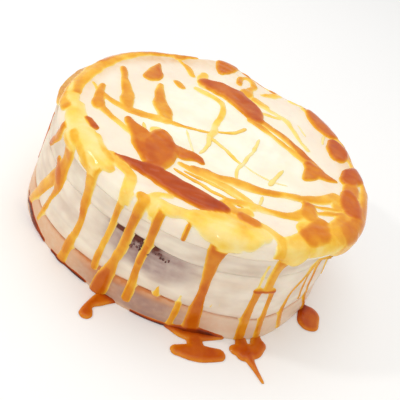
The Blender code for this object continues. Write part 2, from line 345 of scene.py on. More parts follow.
def inside_stroke(u, v, path):
    """How far each point lies inside a stroke, in mm, negative outside it."""
    depth = np.full(u.shape, FAR_OUTSIDE)
    near = ((u > path[:, 0].min() - NEARBY) & (u < path[:, 0].max() + NEARBY)
            & (v > path[:, 1].min() - NEARBY) & (v < path[:, 1].max() + NEARBY))
    a, b = u[near], v[near]
    best = np.full(a.shape, FAR_OUTSIDE)
    for start, end in zip(path, path[1:]):
        along = end[:2] - start[:2]
        share = ((a - start[0]) * along[0] + (b - start[1]) * along[1]) / max(along @ along, 1e-9)
        share = np.clip(share, 0, 1)
        gap = np.hypot(a - start[0] - share * along[0], b - start[1] - share * along[1])
        best = np.maximum(best, start[2] + (end[2] - start[2]) * share - gap)
    depth[near] = best
    return depth


def melt(u, v, strokes, wobble):
    """Thickness in mm, depth of colour, and distance inside all strokes taken together."""
    piled, colour = np.zeros(u.shape), np.full(u.shape, FAINTEST)
    inner = np.full(u.shape, FAR_OUTSIDE)
    for points, half_widths, deep, thick in strokes:
        inside = inside_stroke(u, v, smooth_path(points, half_widths)) + wobble
        share = np.clip(inside / min(MENISCUS, max(half_widths)), 0, 1)
        mound = thick * np.sqrt(1 - (1 - share) ** 2) + np.minimum(inside, 0) * DIVE
        piled += np.exp(mound / FLOW)
        soft = 0.5 * smooth(-1.4, 0, inside) + 0.25 * smooth(-0.6, 0.8, inside)
        soft += 0.25 * smooth(-0.2, 0.3 * max(half_widths) + 0.4, inside)
        colour = np.maximum(colour, deep * soft)
        inner = np.maximum(inner, inside)
    return FLOW * np.log(piled + 1e-7), colour, inner


def lay_over(below, above):
    """Lay one melted sheet over another, with its own colour where it covers."""
    share = smooth(-0.6, 0.9, above[2])
    colour = below[1] * (1 - share) + above[1] * share
    return np.maximum(below[0], above[0]), colour, np.maximum(below[2], above[2])


# %% [markdown]
# ## Where the caramel was poured on top
#
# Seen from straight above, in millimetres: x to the right, y to the back. A long dark band
# crosses the front, a broad blob lies behind it, a second one lies at the back and runs off
# to the right, and thinner ribbons and columns join them. Golden caramel lines the rim.

# %% Strokes on the top
# Each row: points, half widths, depth of colour (0 is palest, over 1 nearly black), height
THICK, RIBBON, THIN, FILM = 2.0, 1.3, 0.8, 0.55      # how high a stroke lies, mm

DARK_STROKES = [
    ([(-50, -73), (-40, -73), (-25, -74), (-8, -77), (8, -79), (18, -79)],
     [1, 3.8, 7.4, 8.6, 7.6, 4], 0.92, THICK),
    ([(-34, -32), (-32, -40), (-31, -49), (-29, -60), (-28, -69)], [4.6, 9.4, 12, 8.6, 5.6], 0.76, THICK),
    ([(-57, -32), (-51, -38), (-44, -44), (-38, -53), (-33, -62)], [3, 5, 7.6, 8, 6], 0.70, THICK),
    ([(-26, -42), (-17, -42), (-9, -40), (-5, -42)], [7, 6, 4, 2.2], 0.70, RIBBON),
    ([(-27, 58), (-15, 57), (-3, 56)], [6, 9.4, 11], 0.80, THICK),
    ([(-3, 55), (6, 50), (12, 44), (17, 37)], [11.6, 11.6, 9, 6.4], 0.82, THICK),
    ([(17, 38), (30, 33.5), (42, 28), (52, 20), (62, 12), (68, 8)],
     [4, 3, 3.2, 4.4, 4.8, 3.4], 0.58, RIBBON),
    ([(45, 26), (52, 20), (58, 15)], [2.4, 4, 3.4], 0.70, RIBBON),
    ([(14, 32), (28, 26), (40, 20), (50, 14.5), (58, 10)], [3, 2.6, 2.4, 2.6, 3], 0.50, RIBBON),
    ([(61, 8), (66, 4), (74, 2.5), (81, 3)], [4.4, 6.6, 4.4, 1.2], 0.72, RIBBON),
    ([(65, 3), (63, -4), (60, -11)], [6.6, 5, 1.6], 0.70, RIBBON),
    ([(-19, 110), (-19, 101), (-20, 92), (-20, 84)], [10.5, 9.4, 6.8, 3], 0.70, RIBBON),
    ([(56, 89), (61, 81), (67, 73), (72, 66)], [6, 10, 10.6, 7], 0.76, THICK),
    ([(77, 52), (79, 44), (80, 37)], [6, 8.4, 7], 0.80, THICK),
    ([(95, 27), (92, 18), (90, 10)], [5, 7.6, 7], 0.82, THICK),
    ([(92, 8), (92, -6)], [5, 5.6], 0.62, THICK),
    ([(90, -8), (92, -16), (94, -27)], [5, 7.6, 6], 0.78, THICK),
    ([(-63, 57), (-62, 46), (-61, 38), (-63, 31)], [1, 4.4, 6.8, 5], 0.68, RIBBON),
    ([(-45, 42), (-40, 38)], [2.8, 3], 0.50, THIN),
    ([(-76, -50), (-71, -55)], [2.8, 3.2], 0.84, RIBBON),
    ([(29, -79), (37, -80)], [4.4, 4.4], 0.62, RIBBON),
    ([(-27, -96), (-23, -99), (-25, -104)], [2.4, 3.4, 3], 0.56, RIBBON),
    ([(67, -41), (66, -50)], [5, 6], 0.58, RIBBON),
    ([(75, -52), (74, -61), (69, -69)], [5, 7.6, 6.4], 0.62, RIBBON),
]

GOLDEN_STROKES = [
    ([(-7, -51), (5, -50), (15, -48), (25, -47), (35, -45), (45, -41), (55, -37),
      (65, -32), (74, -25), (82, -16)],
     [3, 3.4, 4.2, 4.6, 3.4, 3.2, 3.4, 3.6, 4.4, 4.6], 0.49, RIBBON),
    ([(-16, -53), (0, -54), (15, -56), (28, -60), (33, -66)], [1.8, 2.6, 3, 3.2, 2.6], 0.44, THIN),
    ([(18, -68), (30, -64.5), (40, -63), (50, -60), (58, -56), (64, -50)],
     [2.8, 2.8, 2.6, 2.8, 3.8, 4.6], 0.46, RIBBON),
    ([(18, -74), (25, -76), (31, -72)], [5, 5, 4], 0.42, THIN),
    ([(36, -79), (46, -80), (54, -84), (58, -91)], [3.4, 3.2, 3.2, 3.6], 0.42, THIN),
    ([(72, -42), (80, -37), (87, -33)], [2, 2.2, 2], 0.50, THIN),
    ([(62, -38), (74, -35), (86, -29)], [1.4, 1.6, 1.8], 0.48, THIN),
    ([(-81, 27), (-76, 15), (-71, 4), (-67, -4), (-65, -12), (-62, -20)],
     [2.2, 3, 3.6, 4.4, 4.6, 3.6], 0.52, RIBBON),
    ([(-53, 28), (-50, 15), (-46, 4), (-42, -3), (-38, -10)], [2.2, 3.8, 5.6, 6, 4.6], 0.56, RIBBON),
    ([(-90, -8), (-84, -14), (-74, -19), (-62, -22), (-50, -19), (-38, -15), (-27, -12), (-17, -8.5)],
     [1.2, 1.9, 2.4, 3.6, 4, 3.4, 2, 1.6], 0.46, THIN),
    ([(-84, -6), (-82, -17), (-79, -27), (-77, -32)], [2, 3, 4.2, 3.2], 0.55, RIBBON),
    ([(-78, -30), (-68, -36), (-58, -41), (-49, -45)], [3.2, 2.6, 2.6, 3.2], 0.46, THIN),
    ([(-52, 76), (-44, 71), (-38, 62)], [1.6, 2.8, 2.4], 0.44, THIN),
    ([(-31, 72), (-30, 62), (-27, 54)], [3, 4.6, 4.6], 0.42, THIN),
    ([(4, 69), (5, 78), (7, 86), (4, 93), (-1, 95), (-5, 89), (-4, 80)],
     [5.4, 3.4, 2.6, 2.4, 2.2, 2.4, 2.8], 0.48, RIBBON),
    ([(12, 66), (20, 64)], [4.6, 4], 0.40, THIN),
    ([(27, 92), (23, 87), (15, 80)], [3, 3.4, 1.8], 0.44, THIN),
    ([(38, 91), (46, 92)], [3, 3.4], 0.34, FILM),
    ([(-30, 45), (-18, 42), (-10, 37), (-6.5, 28), (-6, 16), (-7, 6), (-6, -2), (-7, -10)],
     [2.8, 3, 2.8, 2.6, 2.4, 2.4, 2.4, 2], 0.33, THIN),
    ([(15, 63), (28, 59), (38, 55), (44, 47), (50, 38), (58, 27)], [3.2, 2.6, 3, 2.4, 2, 2], 0.28, FILM),
    ([(16, 50), (26, 52), (36, 56)], [1.6, 1.6, 1.8], 0.30, FILM),
    ([(-38, -30), (-31, -33)], [4.6, 4.6], 0.36, THIN),
    ([(83, -16), (84, -28)], [4.4, 4], 0.46, THIN),
    ([(88, -36), (89, -46), (84, -58)], [5, 6.4, 6], 0.42, THIN),
    ([(84, -56), (77, -68), (68, -78), (60, -86)], [8, 9.4, 9.4, 7.4], 0.34, THIN),
    ([(72, -54), (66, -64)], [8, 6], 0.36, THIN),
]

PALE_STROKES = [
    ([(6, -95), (16, -95), (27, -94), (36, -94)], [6, 9.4, 9, 6.4], 0.32, RIBBON),
    ([(14, -87), (24, -85), (34, -86), (44, -86)], [6, 7, 6, 5], 0.36, THIN),
    ([(-45, -80), (-37, -84), (-35, -92), (-35, -101)], [3, 3.4, 3.8, 3.8], 0.36, THIN),
    ([(-52, -75), (-44, -80)], [4, 3.4], 0.34, THIN),
    ([(-12, -87), (-19, -91), (-21, -99)], [2.2, 2.8, 3], 0.40, THIN),
    ([(-19, -96), (-17, -104)], [3, 3], 0.36, THIN),
    ([(-87, -38), (-81, -52), (-73, -64)], [3.4, 5.4, 6.6], 0.29, THIN),
    ([(-73, -64), (-64, -75), (-56, -83)], [6.6, 8.4, 5.4], 0.31, THIN),
    ([(-78, -66), (-68, -80), (-62, -90)], [2.2, 3, 2.6], 0.42, THIN),
    ([(-66, -62), (-58, -74), (-50, -80)], [1.6, 2.4, 2], 0.40, THIN),
]

# %% [markdown]
# Caramel also gathers along the rim. These strokes follow it at a set distance, so they are
# given by angle and distance from the middle of the cake, with the shoulder laid out flat.

# %% Strokes along the rim
def rim_stroke(spots, half_widths, deep, thick):
    """A stroke given by angles round the cake and distances from its middle."""
    points = [(r * math.sin(math.radians(a)), -r * math.cos(math.radians(a))) for a, r in spots]
    return points, half_widths, deep, thick


RIM_SPOTS = [
    ([(-29, 99), (-34, 98), (-40, 98)], [2.6, 5.4, 5.4], 0.31, RIBBON),
    ([(-40, 98), (-47, 99), (-54, 99), (-60, 99)], [5.4, 7.6, 5.6, 4.6], 0.28, RIBBON),
    ([(-60, 99), (-68, 99), (-76, 99), (-82, 100)], [4.6, 4, 3.6, 2.4], 0.27, RIBBON),
    ([(-74, 97), (-84, 97), (-98, 96), (-110, 96), (-124, 98), (-140, 101)],
     [2.4, 4.2, 4.6, 4, 3.4, 1.8], 0.5, THIN),
    ([(-64, 103), (-72, 106), (-80, 108)], [3.4, 4, 4], 0.46, RIBBON),
    ([(-78, 107), (-92, 107), (-106, 107), (-118, 106)], [3, 3.4, 4.6, 5], 0.50, RIBBON),
    ([(-104, 99), (-116, 102), (-128, 103), (-142, 103), (-154, 104)], [4.4, 6, 7, 6.8, 5], 0.60, RIBBON),
    ([(-116, 107), (-130, 108), (-148, 107)], [3, 3.6, 3], 0.66, RIBBON),
    ([(-114, 105), (-108, 107)], [4, 3.6], 0.64, RIBBON),
    ([(-152, 104), (-146, 98)], [3.4, 4.6], 0.58, THIN),
    ([(172, 106), (180, 107), (-176, 108)], [2.6, 3.8, 3.4], 0.60, THIN),
    ([(164, 104), (156, 106), (150, 108)], [2.6, 3.6, 4.4], 0.50, THIN),
    ([(152, 109), (140, 108), (128, 107), (116, 106), (106, 106)], [5.4, 7, 7.4, 7.4, 7], 0.56, RIBBON),
    ([(106, 106), (96, 107), (84, 107), (72, 106), (62, 104)], [7, 8.4, 8.6, 8, 7], 0.57, RIBBON),
    ([(78, 98), (68, 99), (58, 101)], [6.4, 7.4, 7], 0.47, RIBBON),
    ([(62, 101), (55, 101), (49, 98), (44, 101), (37, 101)], [7, 6.4, 5, 6.6, 5], 0.36, RIBBON),
    ([(151, 99), (143, 101), (134, 99), (127, 101)], [2, 4.4, 3, 4], 0.42, THIN),
    ([(124, 96), (116, 95), (110, 98), (104, 97)], [1.4, 2.2, 3.4, 3], 0.42, THIN),
    ([(164, 107), (150, 110), (135, 110), (120, 109), (106, 109)], [1.2, 1.5, 1.5, 1.5, 1.2], 0.95, THIN),
    ([(4, 97.5), (10, 100), (17, 102), (24, 98)], [5, 6.6, 6.6, 5.4], 0.34, RIBBON),
    ([(-9, 97), (-5, 98.6), (0, 96.6), (5, 98.2)], [3, 4.2, 4, 4.8], 0.35, RIBBON),
]
RIM_STROKES = [rim_stroke(*row) for row in RIM_SPOTS]
top_strokes = DARK_STROKES + GOLDEN_STROKES + PALE_STROKES + RIM_STROKES
print(len(top_strokes), "strokes on the top and its rim")

# %% [markdown]
# ## Where the caramel ran down
#
# Drips start at the rim, get narrower, and some swell again where they meet the foot. They are
# given by angle and height. At the back, where the pour isn't seen, a seeded rule draws
# drips of the same sizes, at the same places as the thick ones that the solids carry.

# %% Strokes down the side
SIDE_STROKES = [
    ([(-71, 60), (-71, 42), (-70, 26)], [1.2, 1.7, 1.2], 0.90, THIN),
    ([(-54, 72), (-57, 61), (-61, 51)], [2.4, 3.2, 2.4], 0.66, RIBBON),
    ([(-47, 72), (-46.5, 60), (-46.5, 50), (-45.5, 42), (-46.5, 32), (-48, 20), (-49.5, 8)],
     [6, 5.2, 5, 4, 2.6, 2.2, 1.8], 0.52, RIBBON),
    ([(-50.5, 53), (-47.5, 48.5), (-46, 44)], [3.0, 4.4, 3.0], 0.64, RIBBON),
    ([(-47, 54), (-49.5, 42), (-53, 29), (-57, 15), (-60, 5)], [4, 4.8, 4.6, 3.6, 2.6], 0.50, RIBBON),
    ([(-33, 71), (-32.5, 58), (-32, 47), (-31, 37), (-31.5, 25), (-32.5, 15), (-33, 4), (-33.5, 0)],
     [4.8, 4, 3.4, 3, 3, 3.4, 3.6, 3.6], 0.54, RIBBON),
    ([(-19, 75), (-20, 60), (-20, 46), (-20.5, 36), (-21, 24), (-21, 15)],
     [2.8, 2.2, 2.1, 2.2, 2.4, 2.2], 0.52, RIBBON),
    ([(-13, 75), (-13.5, 68), (-14, 60), (-14, 50), (-14, 41), (-15, 30), (-15.5, 19), (-16.5, 9), (-17, 0)],
     [3.4, 3, 3, 3, 3.1, 3.2, 4.2, 5.2, 5.4], 0.62, THICK),
    ([(-15.5, 21), (-16.5, 9), (-17, 0)], [2.6, 5, 5], 0.76, THICK),
    ([(-7, 74), (-7, 60), (-7, 50), (-7.5, 40), (-7.5, 30), (-7, 20), (-7, 8)],
     [3, 2.6, 2.6, 2.6, 2.7, 2.8, 2.7], 0.60, RIBBON),
    ([(-7, 50), (-7.5, 38)], [2.2, 2.2], 0.72, RIBBON),
    ([(2, 73), (2, 66)], [1.6, 1.4], 0.66, RIBBON),
    ([(13, 71), (13, 60), (13.5, 50), (14, 40), (14.5, 30), (15, 20), (15.5, 10), (16, 0)],
     [6, 4.6, 3.6, 3.1, 3.2, 4.1, 4.7, 5.8], 0.68, THICK),
    ([(9, 21), (9.2, 14), (9, 3)], [1.6, 2, 2.1], 0.50, THIN),
    ([(8.6, 32), (8.8, 23)], [1.2, 1.4], 0.22, FILM),
    ([(36, 67), (35.3, 56), (35.3, 42)], [4.4, 3.4, 3.3], 0.56, RIBBON),
    ([(31.5, 60), (31.5, 43)], [1.2, 1.3], 0.28, FILM),
    ([(30.8, 41), (38.4, 41)], [1.1, 1.1], 0.80, RIBBON),
    ([(32, 41), (32.3, 20), (33.5, 0)], [2.9, 3.1, 3.4], 0.60, RIBBON),
    ([(37.5, 41), (38.5, 20), (40, 0)], [2.3, 2.3, 2.8], 0.58, RIBBON),
    ([(56, 63), (52.5, 46.5), (47.5, 36.5), (46.5, 25.5), (47.5, 15), (50, 4)],
     [1.9, 1.6, 1.6, 1.8, 2, 2.4], 0.54, RIBBON),
    ([(57.5, 62), (54, 47.5), (53.5, 36), (55, 24)], [1.9, 1.4, 1.4, 1.3], 0.56, RIBBON),
    ([(61, 67), (58, 52), (58, 42.5), (58, 34), (60.5, 22.5), (65, 10), (67.5, 0)],
     [2.2, 1.9, 1.8, 1.8, 2, 2.1, 2.4], 0.58, RIBBON),
    ([(67, 66), (67, 50), (69, 32)], [2, 1.6, 1.5], 0.52, RIBBON),
    ([(1, 29), (1.2, 21)], [1.0, 1.9], 0.46, FILM),
    ([(19, 38), (19, 24)], [1.2, 1.2], 0.28, FILM),
    ([(21.5, 40), (21.5, 26)], [1.2, 1.2], 0.28, FILM),
]

GLAZE_TONGUES = [
    ([(-54, 77), (-48, 71.5), (-42, 76)], [5, 5.4, 4], 0.35, THICK),
    ([(-38, 76), (-33, 73), (-29, 77)], [4.6, 4.6, 3.4], 0.35, THICK),
    ([(7, 77), (12, 73.5), (19, 73), (24, 78)], [3.6, 4.4, 4.6, 3], 0.34, THICK),
    ([(31, 77), (36, 70), (40, 66.5), (43, 73)], [4, 5, 5, 3], 0.35, THICK),
    ([(53, 75), (56, 70), (61, 68), (66, 71)], [3, 4.8, 5.2, 4.4], 0.42, THICK),
    ([(64, 74), (72, 72), (83, 72), (95, 73)], [5, 5, 5, 4.4], 0.54, RIBBON),
]

FOOT_LINE = [
    ([(-64, 6), (-57, 4.4), (-50, 2.6), (-43, 1)], [1.2, 2.4, 2.4, 1.2], 1.15, THIN),
    ([(-38, 0.8), (-28, 0.8), (-22, 0.8)], [1.0, 1.2, 0.9], 1.2, THIN),
    ([(-4, 0.8), (3, 0.8), (9, 0.8)], [0.9, 1.1, 1], 1.2, THIN),
    ([(10, 1.4), (18, 2.6), (27, 1.4)], [1.6, 3, 1.4], 1.1, RIBBON),
]


def back_strokes():
    """Drips round the back, by the same draws as the thick ones of the solids."""
    dice = random.Random(7)
    first, last, count = 84.0, 282.0, 8    # from and to these degrees, so many drips
    strokes = []
    for index in range(count):
        angle = first + (last - first) * (index + 0.2 + 0.6 * dice.random()) / count
        end = dice.choice((1.0, 1.0, 12.0, 30.0, 46.0))
        width, drift = dice.uniform(1.6, 3.0), dice.uniform(-3.0, 3.0)
        spots = [(angle, 73), (angle + 0.2 * drift, 60),
                 (angle + 0.6 * drift, (60 + end) / 2), (angle + drift, end)]
        strokes.append((spots, [2.2 * width, 1.2 * width, width, 0.9 * width], 0.45 + 0.1 * width, RIBBON))
        glaze = [(angle - 9, 75), (angle, 71), (angle + 9, 75)]
        strokes.append((glaze, [3.4, 4.4, 3.4], 0.36, RIBBON))
    return strokes


side_strokes = SIDE_STROKES + FOOT_LINE + back_strokes()
print(len(side_strokes), "strokes on the side,", len(GLAZE_TONGUES), "tongues of glaze over them")

# %% [markdown]
# ## The caramel sheet
#
# The sheet lies on the skin, with a point about every millimetre. On the top the strokes are
# melted in a flat plan, with the shoulder rolled out. On the side they are melted in a plan of
# millimetres along the side and up it. The two plans meet where the shoulder ends.

# %% Thickness and colour over the whole skin
COLUMNS = 600                      # points round the cake
TOP_ROWS, SHOULDER_ROWS, SIDE_ROWS = 92, 13, 84
SHOULDER_LENGTH = 11.0             # of the rounded shoulder, rolled out
sheet_angles = angles_round(COLUMNS)[None, :]

MIDDLE_GAP = 0.02                  # the first row's reach, so that it is a small ring
SHEET_FOOT = 0.25                  # height of the last row, mm
reach_rows = np.concatenate([np.linspace(MIDDLE_GAP, 1, TOP_ROWS),
                             np.linspace(1, 2, SHOULDER_ROWS)[1:]])[:, None]
height_rows = np.linspace(LIP_SHOULDER, SHEET_FOOT, SIDE_ROWS)[1:, None]


def unrolled(angle, reach):
    """Flat plan of the top, with the shoulder rolled out beyond it."""
    inner = rim_radius(angle) - SHOULDER
    distance = np.minimum(reach, 1) * inner + np.clip(reach - 1, 0, 1) * SHOULDER_LENGTH
    turn = np.radians(angle)
    return distance * np.sin(turn), -distance * np.cos(turn)


def side_plan(angle, height):
    """Millimetres along the side, from the front, and up it."""
    signed = half_turns(angle)
    return np.radians(signed) * CAKE_RADIUS, height + 0 * signed


def on_side(strokes):
    """The same strokes, with their angles turned to millimetres along the side."""
    turned = []
    for spots, half_widths, deep, thick in strokes:
        places = [(math.radians(half_turns(a)) * CAKE_RADIUS, h) for a, h in spots]
        turned.append((places, half_widths, deep, thick))
    return turned


top_x, top_y = unrolled(sheet_angles, reach_rows)
wobble = 0.65 * waves(top_x / 8, top_y / 8, 31) + 0.3 * waves(top_x / 4, top_y / 4, 32)
top_thick, top_deep, top_inner = melt(top_x, top_y, top_strokes, wobble)

along, up = side_plan(sheet_angles, height_rows)
along = along + 0 * up
side_wobble = 0.3 * round_waves(sheet_angles + 0 * up, up, 110, 7, 33)
drips = melt(along, up, on_side(side_strokes), side_wobble)
tongues = melt(along, up, on_side(GLAZE_TONGUES), 3 * side_wobble)
side_thick, side_deep, side_inner = lay_over(drips, tongues)
print("caramel covers", round(100 * (top_thick > 0).mean()), "% of the top's points and",
      round(100 * (side_thick > 0).mean()), "% of the side's")

# %% [markdown]
# What hangs over the shoulder has to go on as a drip, and a drip has to start on the shoulder.
# So the top's last row fades into the side's first rows, and the side's first row fades into
# the shoulder. Where either fades out, it sinks under the skin.

# %% Join the two plans over the rim
SUNK = 3.0                         # how deep a faded sheet lies under the skin, mm
rim_fade = smooth(LIP_SHOULDER - 6, LIP_SHOULDER - 1.5, height_rows)
from_rim = top_thick[-1:] * rim_fade - (1 - rim_fade) * SUNK
rim_inner = top_inner[-1:] - (1 - rim_fade) * 2 * SUNK
share = smooth(-0.4, 0.9, rim_inner)
side_deep = top_deep[-1:] * share + side_deep * (1 - share)
side_thick = np.maximum(side_thick, from_rim)
side_inner = np.maximum(side_inner, rim_inner)
shoulder_fade = smooth(0.95, 1.6, reach_rows)
to_side = side_thick[:1] * shoulder_fade - (1 - shoulder_fade) * SUNK
share = smooth(-0.4, 0.9, top_inner)
top_deep = top_deep * share + np.where(to_side > -0.6, side_deep[:1], top_deep) * (1 - share)
top_thick = np.maximum(top_thick, to_side)
print("thickest caramel, mm:", round(float(top_thick.max()), 1), "and", round(float(side_thick.max()), 1))

# %% [markdown]
# ## Cream top
#
# The cream top is whipped cream cheese, spread with a palette knife and left thick. Its rim
# hangs a little over the side. It takes the same grid of points as the caramel sheet above
# it, so the two fit without gaps, and it remembers how close it lies to caramel, for a tint.

# %% Build the cream top
top_points = top_point(sheet_angles + 0 * reach_rows, reach_rows + 0 * sheet_angles)
# the lip's rows lie closer together where it rolls under
lip_rows = np.array([69.2, 68.3, 67.4, 66.8, 66.3, 65.9, 65.6, 65.4, LIP_BOTTOM + 0.02])[:, None]
lip_angles = sheet_angles + 0 * lip_rows
lip_points = ring_point(lip_angles, lip_radius(lip_angles, lip_rows), lip_rows)
near_caramel = smooth(-3.5, 0.5, np.concatenate([top_inner, top_inner[-1:] + 0 * lip_rows]))
whole = np.concatenate([top_points, lip_points])
# painted shade makes the cream a little darker outwards, and caramel has soaked the rim at the back left and
# right
painted_outer_shade = smooth(44, 80, np.hypot(whole[..., 0] - 2, whole[..., 1] + 8))
turned = np.degrees(np.arctan2(whole[..., 0], -whole[..., 1]))
syrupy_rim = np.exp(-((turned + 122) / 46) ** 4) + 0.8 * np.exp(-((turned - 100) / 30) ** 4)
syrupy_rim = syrupy_rim * smooth(82, 94, np.hypot(whole[..., 0], whole[..., 1]))
cream_marks = {"near_caramel": near_caramel, "painted_outer_shade": painted_outer_shade, "syrupy_rim": syrupy_rim}
cream = ring_solid("cream_top_spread", whole, cream_marks)
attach(cream, "root")
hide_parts("cream_top")
print("cream top:", len(cream.data.vertices), "points")

# %% [markdown]
# ## The three layers
#
# Each layer is a disc of cake that was iced and scraped, so cake shows through in places.
# The lowest one has soaked up caramel. The seams between them are pressed in, and dip and
# rise as they go round, as the layers were stacked by hand.

# %% Build the layers
def scraped_marks(angle, height):
    """How soaked, syrupy, bare and dark with crumb the side is at each point, each 0 to 1."""
    signed = half_turns(angle)
    cloud = 0.5 + 0.5 * round_waves(angle, height, 24, 9, 41)
    streak = 0.5 + 0.5 * round_waves(angle, height, 30, 3, 42)
    fleck = 0.5 + 0.5 * round_waves(angle, height, 150, 2, 44)
    over_low, over_high = height - low_seam(angle), height - high_seam(angle)
    right = smooth(16, 30, signed) * smooth(80, 60, signed)
    stain = smooth(1.0, -1.5, over_low) * (0.7 + 0.3 * streak) * (1 - 0.55 * right)
    stain = stain + 0.2 * smooth(7, 0, over_low) * cloud + 0.15 * smooth(0.6, 0.95, cloud)
    front = np.exp(-((signed + 8) / 19) ** 4)
    syrup = np.exp(-(over_low / 0.9) ** 2) * (0.35 + 0.65 * cloud)
    syrup = syrup + front * smooth(1.2, -0.5, over_low) * smooth(-8, -1, over_low) * (0.45 + 0.7 * fleck)
    syrup = syrup + 0.55 * np.exp(-((signed + 18) / 6) ** 2 - ((height - 11) / 8) ** 2)
    patch = np.exp(-((signed + 6) / 16) ** 4) * smooth(31, 43, height + 6 * streak)
    bare = patch * smooth(0.8, -0.6, over_high) * (0.5 + 0.5 * cloud)
    low_patch = np.exp(-((signed + 6) / 20) ** 4) * smooth(-2, -6, over_low) * smooth(0, 3, height)
    bare = bare + low_patch * (0.35 + 0.4 * cloud) + 0.12 * smooth(0.5, 0.9, streak) * smooth(20, 30, height)
    groove = np.exp(-((signed + 12) / 8) ** 4)
    crumbs = np.exp(-((signed + 8) / 8) ** 2 - ((over_high + 3) / 3.5) ** 2) * smooth(0.4, 0.7, fleck)
    dark = 0.03 * np.exp(-(over_high / 1.5) ** 2)
    dark = dark + 2.2 * groove * np.exp(-((over_high + 0.7) / 1.5) ** 4) + crumbs
    return {"stain": stain, "syrup": syrup, "bare": bare, "dark": dark}


def seam_roll(angle, gap, seam):
    """How far the side rolls in beside a seam, the low one more than the well smoothed high one."""
    uneven = 0.55 + 0.45 * round_waves(angle, 0 * angle, 50, 9, 51)
    groove = 1.4 * np.exp(-(half_turns(angle + 12) / 9) ** 4)
    return (1.5 if seam is low_seam else 0.35 + groove) * uneven * np.exp(-gap / 1.1)


def build_layer(name, node, low, high, bulge, rows):
    share = np.linspace(1, 0, rows)[:, None]
    angle = sheet_angles + 0 * share
    height = low(angle) + (high(angle) - low(angle)) * share
    radius = side_radius(angle, height) + bulge * np.sin(math.pi * share) ** 0.7
    if high is not layer_top:
        radius = radius - seam_roll(angle, high(angle) - height, high)
    if low is not layer_foot:
        radius = radius - seam_roll(angle, height - low(angle), low)
    marks = scraped_marks(angle, height)
    radius = radius - 0.45 * marks["bare"]
    layer = ring_solid(name, ring_point(angle, radius, height), marks)
    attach(layer, "root")
    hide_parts(node)
    return layer


def layer_foot(angle):
    return 0.0 * angle


def layer_top(angle):
    return LIP_BOTTOM - 0.1 + 0.0 * angle


bottom = build_layer("bottom_layer_soaked", "bottom_layer", layer_foot, low_seam, 0.3, 26)
middle = build_layer("middle_layer_iced", "middle_layer", low_seam, high_seam, 0.6, 40)
upper = build_layer("top_layer_iced", "top_layer", high_seam, layer_top, 0.3, 18)
print("layers:", [len(layer.data.vertices) for layer in (bottom, middle, upper)], "points")

# %% [markdown]
# ## Caramel over everything
#
# The sheet of caramel is closed with an inner skin that lies inside the cream. Where caramel
# hangs from the rim it bridges the hollow under the lip, more so in the middle of a drip.

# %% Build the caramel sheet
DEEPEST = 1.6                      # how far the sheet dives under the skin, mm
THICKEST = 9                       # a cap on its height over the skin, mm
INNER = 0.9                        # of the sheet's inner skin under its deepest dive, mm


def sheet_shell(name, outer, inner, keep, marks):
    """A closed sheet from two grids of points, of the cells that are kept."""
    index, cells = grid_cells(*outer.shape[:2])
    total, cells = index.size, cells[keep]
    edges = np.concatenate([cells[:, [k, (k + 1) % 4]] for k in range(4)])
    _, first, counts = np.unique(np.sort(edges, 1) @ [total, 1], return_index=True, return_counts=True)
    border = edges[first[counts == 1]]
    walls = np.stack([border[:, 1], border[:, 0], border[:, 0] + total, border[:, 1] + total], -1)
    faces = np.concatenate([cells, cells[:, ::-1] + total, walls])
    used, numbers = np.unique(faces, return_inverse=True)
    faces = numbers.reshape(-1, 4)
    points = np.concatenate([outer.reshape(-1, 3), inner.reshape(-1, 3)])[used]
    both = {mark: np.concatenate([value.ravel()] * 2)[used] for mark, value in marks.items()}
    points = np.clip(points, INSIDE_BOX[0], INSIDE_BOX[1])
    return new_piece(name, points, faces.tolist(), both, flat_from=len(faces) - len(walls))


def kept_cells(thickness, least=-0.7):
    """Which cells have a corner thicker than this many mm."""
    over = thickness > least
    over = over | np.roll(over, -1, axis=1)
    return over[:-1] | over[1:]


over = np.clip(reach_rows - 1, 0, 1) * math.pi / 2
turn = np.radians(sheet_angles)
outward = np.stack([np.sin(turn) * np.sin(over), -np.cos(turn) * np.sin(over), np.cos(over) + 0 * turn], -1)
ripple = 0.2 * waves(top_x / 6, top_y / 6, 61) * smooth(1.9, 1.3, reach_rows)
top_outer = top_points + (np.clip(top_thick, -DEEPEST, THICKEST) + ripple)[..., None] * outward
top_inside = top_points - (DEEPEST + INNER) * outward

side_angles = sheet_angles + 0 * height_rows
side_heights = height_rows + 0 * sheet_angles
plain = np.where(side_heights > LIP_BOTTOM, lip_radius(side_angles, side_heights),
                 side_radius(side_angles, side_heights))
bridge = smooth(-0.2, 1.6, side_inner)
skin = plain + (flow_radius(side_angles, side_heights) - plain) * bridge
side_outer = ring_point(side_angles, skin + np.clip(side_thick, -DEEPEST, THICKEST), side_heights)
side_inside = ring_point(side_angles, plain - DEEPEST - INNER, side_heights)
outer, inside = np.concatenate([top_outer, side_outer]), np.concatenate([top_inside, side_inside])
sheet_cells = kept_cells(np.concatenate([top_thick, side_thick]))
sheet_marks = {"depth": np.concatenate([top_deep, side_deep])}
sheet = sheet_shell("caramel_sheet", outer, inside, sheet_cells, sheet_marks)
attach(sheet, "root")
print("caramel sheet:", len(sheet.data.polygons), "faces of four corners")

# %% [markdown]
# ## Threads of caramel
#
# When the spoon is nearly empty the caramel runs off it as threads. They are too thin for the
# sheet, so each becomes a flattened tube that follows the top.

